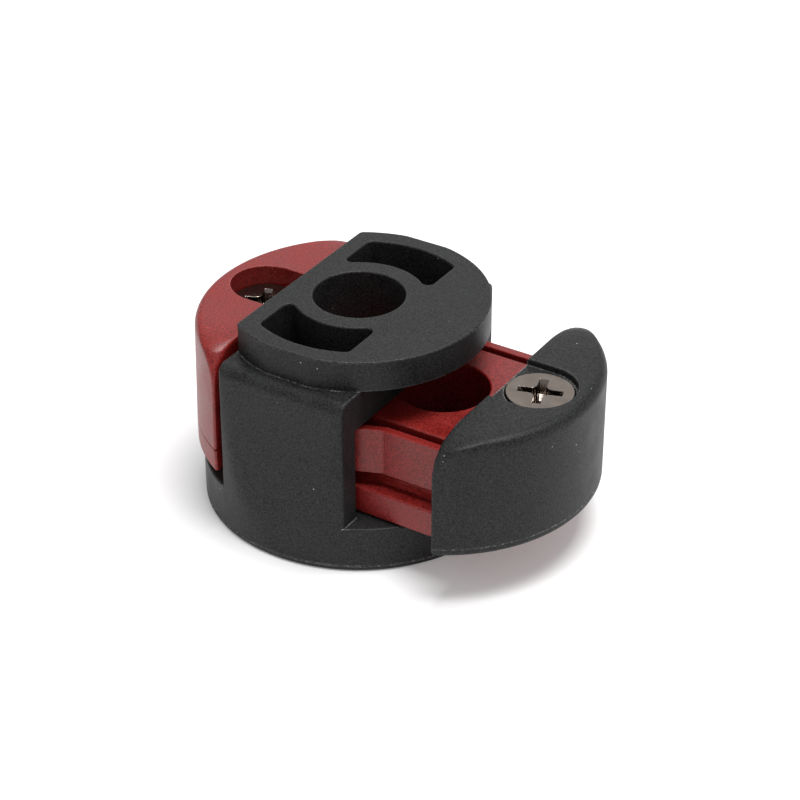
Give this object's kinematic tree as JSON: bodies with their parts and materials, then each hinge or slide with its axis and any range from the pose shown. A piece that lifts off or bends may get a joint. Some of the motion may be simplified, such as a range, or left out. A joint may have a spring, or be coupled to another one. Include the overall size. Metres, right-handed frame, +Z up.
{
  "type": "sliding gate line lock",
  "caption": "Round deck fitting with a through bore, crossed by a sliding gate with a half-round cap screwed on at each end; the gate opens or closes the bore.",
  "frame": {"origin": "centre of the bore at the underside of the base", "axes": "+Z up along the bore, away from the surface it is fixed to; +X the way the gate pulls out from the closed bore's black-capped side"},
  "size_m": [0.0583, 0.044, 0.0304],
  "materials": {
    "black_nylon": "satin moulded glass-filled nylon",
    "red_nylon": "satin moulded nylon",
    "stainless_steel": "plain stainless steel",
    "brass": "turned brass"
  },
  "bodies": {
    "body": {"housing": "black_nylon"},
    "slide": {"gate": "red_nylon", "left_cap": "red_nylon", "right_cap": "black_nylon", "left_screw": "stainless_steel", "right_screw": "stainless_steel", "left_insert": "brass", "right_insert": "brass"}
  },
  "joints": [
    {"name": "gate_slide", "type": "slide", "parent": "body", "child": "slide", "axis": [1, 0, 0], "range_m": [-0.0133, 0.0008]}
  ]
}
